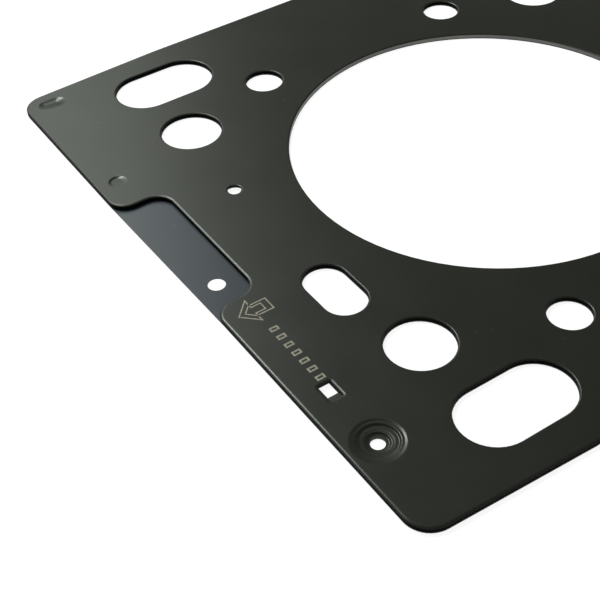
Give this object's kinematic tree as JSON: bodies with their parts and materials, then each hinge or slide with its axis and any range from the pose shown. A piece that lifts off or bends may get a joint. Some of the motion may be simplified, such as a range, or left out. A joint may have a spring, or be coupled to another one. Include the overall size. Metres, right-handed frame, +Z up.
{
  "type": "cylinder head gasket",
  "caption": "Flat layered steel gasket with a large round bore, bolt holes, oil slots and water holes, and a window in one edge.",
  "frame": {"origin": "centre of the cylinder bore at the gasket's underside", "axes": "+Z up out of the upper sheet, -X towards the front edge, which has the window"},
  "size_m": [0.2323, 0.233, 0.0018],
  "materials": {
    "coated_upper": "satin",
    "coated_lower": "satin",
    "coated_core": "satin",
    "ring_steel": "satin",
    "print": "matt"
  },
  "bodies": {
    "root": {"lower_sheet": "coated_lower", "carrier_plate": "coated_core", "upper_sheet": "coated_upper", "fire_ring": "ring_steel"}
  },
  "joints": []
}
